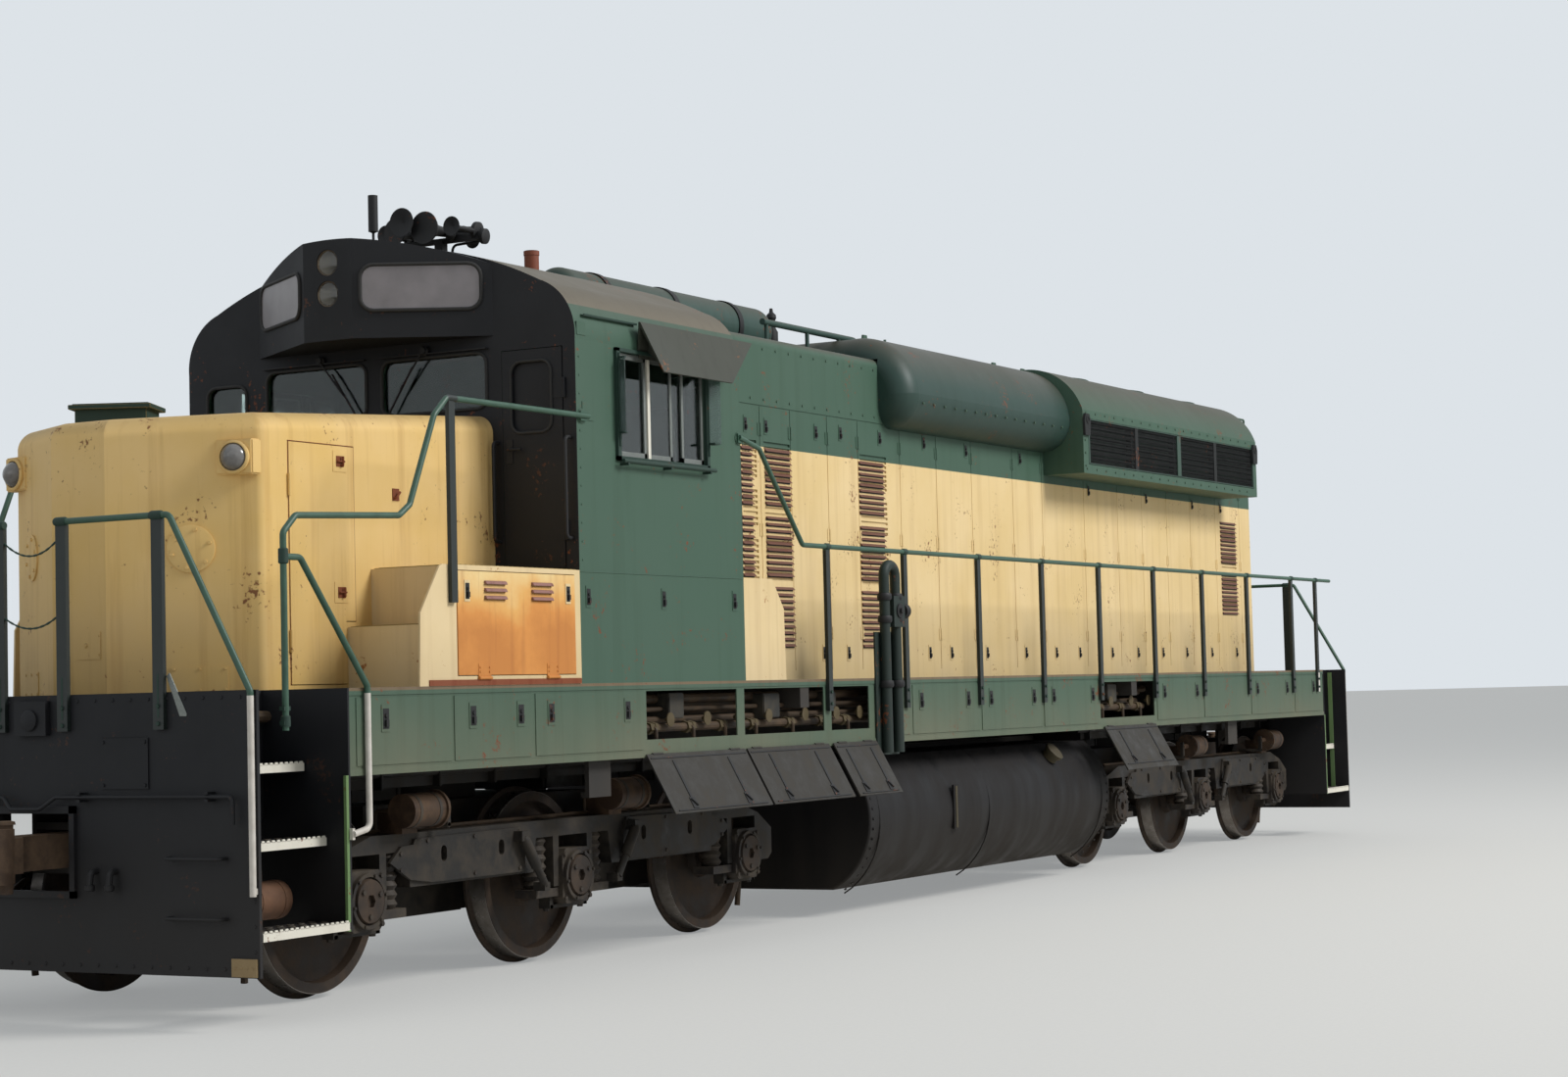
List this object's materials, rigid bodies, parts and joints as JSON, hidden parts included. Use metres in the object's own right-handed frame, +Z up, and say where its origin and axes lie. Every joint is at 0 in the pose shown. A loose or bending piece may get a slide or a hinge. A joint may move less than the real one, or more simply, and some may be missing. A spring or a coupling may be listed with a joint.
{
  "type": "six-axle diesel locomotive",
  "caption": "Diesel-electric road locomotive with a low nose, hollow cab, long hood and swivelling trucks, standing on its wheels.",
  "frame": {"origin": "middle of the length and width, at the lowest point of the wheel flanges", "axes": "+Z up, the low nose faces -Y, +X is the locomotive's left side"},
  "size_m": [3.3468, 18.504, 4.9179],
  "materials": {
    "yellow_paint": "weathered yellow enamel",
    "green_paint": "weathered dark green enamel",
    "black_paint": "matt black paint",
    "roof_paint": "faded grey-brown paint",
    "rust_paint": "rust-bleached yellow enamel",
    "wheel_steel": "forged steel, rubbed treads",
    "running_gear": "grimy cast steel",
    "glass": "clear glass",
    "seat_vinyl": "black vinyl",
    "interior_paint": "grey-green enamel"
  },
  "bodies": {
    "platform": {"awnings": "roof_paint", "brake_hatch": "green_paint", "cab_base": "green_paint", "cab_glass": "glass", "cab_roof": "roof_paint", "cab_walls": "green_paint", "control_stand": "interior_paint", "end_rails": "black_paint", "engine_block": "running_gear", "fan_guards": "black_paint", "front_end": "black_paint", "fuel_filler": "green_paint", "fuel_tank": "running_gear", "handrail_left": "green_paint", "handrail_right": "green_paint", "headlights": "glass", "horn_and_aerial": "black_paint", "long_hood": "yellow_paint", "nose": "yellow_paint", "number_housing": "black_paint", "radiator_grilles": "green_paint", "radiator_housing": "green_paint", "rear_end": "black_paint", "roof_reservoirs": "green_paint", "seats": "seat_vinyl", "side_box_left": "yellow_paint", "side_box_right": "yellow_paint", "sill_left": "green_paint", "sill_right": "green_paint", "underframe": "running_gear"},
    "truck_front": {"truck_frame_front": "running_gear", "journal_boxes_front": "running_gear", "brake_gear_front": "running_gear", "traction_motors_front": "running_gear"},
    "wheelset_front_1": {"wheelset_front_1": "wheel_steel"},
    "wheelset_front_2": {"wheelset_front_2": "wheel_steel"},
    "wheelset_front_3": {"wheelset_front_3": "wheel_steel"},
    "coupler_front": {"coupler_front": "running_gear"},
    "truck_rear": {"truck_frame_rear": "running_gear", "journal_boxes_rear": "running_gear", "brake_gear_rear": "running_gear", "traction_motors_rear": "running_gear"},
    "wheelset_rear_1": {"wheelset_rear_1": "wheel_steel"},
    "wheelset_rear_2": {"wheelset_rear_2": "wheel_steel"},
    "wheelset_rear_3": {"wheelset_rear_3": "wheel_steel"},
    "coupler_rear": {"coupler_rear": "running_gear"},
    "sill_flap_1": {"sill_flap_1": "green_paint"},
    "sill_flap_2": {"sill_flap_2": "green_paint"},
    "sill_flap_3": {"sill_flap_3": "green_paint"},
    "sill_flap_4": {"sill_flap_4": "green_paint"},
    "nose_door": {"nose_door": "yellow_paint"},
    "box_door_left": {"box_door_left": "rust_paint"},
    "box_door_right": {"box_door_right": "rust_paint"},
    "cab_door_front": {"cab_door_front": "black_paint"},
    "cab_door_rear": {"cab_door_rear": "green_paint"},
    "fan_1": {"fan_1": "black_paint"},
    "fan_2": {"fan_2": "black_paint"},
    "fan_3": {"fan_3": "black_paint"}
  },
  "joints": [
    {"name": "truck_front_swivel", "type": "hinge", "parent": "platform", "child": "truck_front", "pos_m": [0, -5.335, 1], "axis": [0, 0, 1], "range_deg": [-4, 4]},
    {"name": "wheelset_front_1_roll", "type": "hinge", "parent": "truck_front", "child": "wheelset_front_1", "pos_m": [0, -7.405, 0.536], "axis": [1, 0, 0], "continuous": true},
    {"name": "wheelset_front_2_roll", "type": "hinge", "parent": "truck_front", "child": "wheelset_front_2", "pos_m": [0, -5.335, 0.536], "axis": [1, 0, 0], "continuous": true},
    {"name": "wheelset_front_3_roll", "type": "hinge", "parent": "truck_front", "child": "wheelset_front_3", "pos_m": [0, -3.265, 0.536], "axis": [1, 0, 0], "continuous": true},
    {"name": "coupler_front_swing", "type": "hinge", "parent": "platform", "child": "coupler_front", "pos_m": [0, -8.1, 0.876], "axis": [0, 0, 1], "range_deg": [-7, 7]},
    {"name": "truck_rear_swivel", "type": "hinge", "parent": "platform", "child": "truck_rear", "pos_m": [0, 5.335, 1], "axis": [0, 0, 1], "range_deg": [-4, 4]},
    {"name": "wheelset_rear_1_roll", "type": "hinge", "parent": "truck_rear", "child": "wheelset_rear_1", "pos_m": [0, 3.265, 0.536], "axis": [1, 0, 0], "continuous": true},
    {"name": "wheelset_rear_2_roll", "type": "hinge", "parent": "truck_rear", "child": "wheelset_rear_2", "pos_m": [0, 5.335, 0.536], "axis": [1, 0, 0], "continuous": true},
    {"name": "wheelset_rear_3_roll", "type": "hinge", "parent": "truck_rear", "child": "wheelset_rear_3", "pos_m": [0, 7.405, 0.536], "axis": [1, 0, 0], "continuous": true},
    {"name": "coupler_rear_swing", "type": "hinge", "parent": "platform", "child": "coupler_rear", "pos_m": [0, 8.1, 0.876], "axis": [0, 0, 1], "range_deg": [-7, 7]},
    {"name": "sill_flap_1_hinge", "type": "hinge", "parent": "platform", "child": "sill_flap_1", "pos_m": [1.4933, -4.469, 1.248], "axis": [0, -1, 0], "range_deg": [0, 150]},
    {"name": "sill_flap_2_hinge", "type": "hinge", "parent": "platform", "child": "sill_flap_2", "pos_m": [1.4933, -3.281, 1.248], "axis": [0, -1, 0], "range_deg": [0, 150]},
    {"name": "sill_flap_3_hinge", "type": "hinge", "parent": "platform", "child": "sill_flap_3", "pos_m": [1.4933, -2.331, 1.248], "axis": [0, -1, 0], "range_deg": [0, 150]},
    {"name": "sill_flap_4_hinge", "type": "hinge", "parent": "platform", "child": "sill_flap_4", "pos_m": [1.4933, 2.735, 1.248], "axis": [0, -1, 0], "range_deg": [0, 150]},
    {"name": "nose_door_hinge", "type": "hinge", "parent": "platform", "child": "nose_door", "pos_m": [0.8923, -7.6885, 2.4], "axis": [0, 0, -1], "range_deg": [0, 110]},
    {"name": "box_door_left_hinge", "type": "hinge", "parent": "platform", "child": "box_door_left", "pos_m": [1.4933, -6.402, 1.73], "axis": [0, 1, 0], "range_deg": [0, 165]},
    {"name": "box_door_right_hinge", "type": "hinge", "parent": "platform", "child": "box_door_right", "pos_m": [-1.4933, -6.402, 1.73], "axis": [0, -1, 0], "range_deg": [0, 165]},
    {"name": "cab_door_front_hinge", "type": "hinge", "parent": "platform", "child": "cab_door_front", "pos_m": [1.407, -5.7613, 3], "axis": [0, 0, 1], "range_deg": [0, 100]},
    {"name": "cab_door_rear_hinge", "type": "hinge", "parent": "platform", "child": "cab_door_rear", "pos_m": [1.407, -3.8027, 3], "axis": [0, 0, -1], "range_deg": [0, 100]},
    {"name": "fan_1_spin", "type": "hinge", "parent": "platform", "child": "fan_1", "pos_m": [0, 4.1, 4.23], "axis": [0, 0, 1], "continuous": true},
    {"name": "fan_2_spin", "type": "hinge", "parent": "platform", "child": "fan_2", "pos_m": [0, 5.47, 4.23], "axis": [0, 0, 1], "continuous": true},
    {"name": "fan_3_spin", "type": "hinge", "parent": "platform", "child": "fan_3", "pos_m": [0, 6.84, 4.23], "axis": [0, 0, 1], "continuous": true}
  ]
}
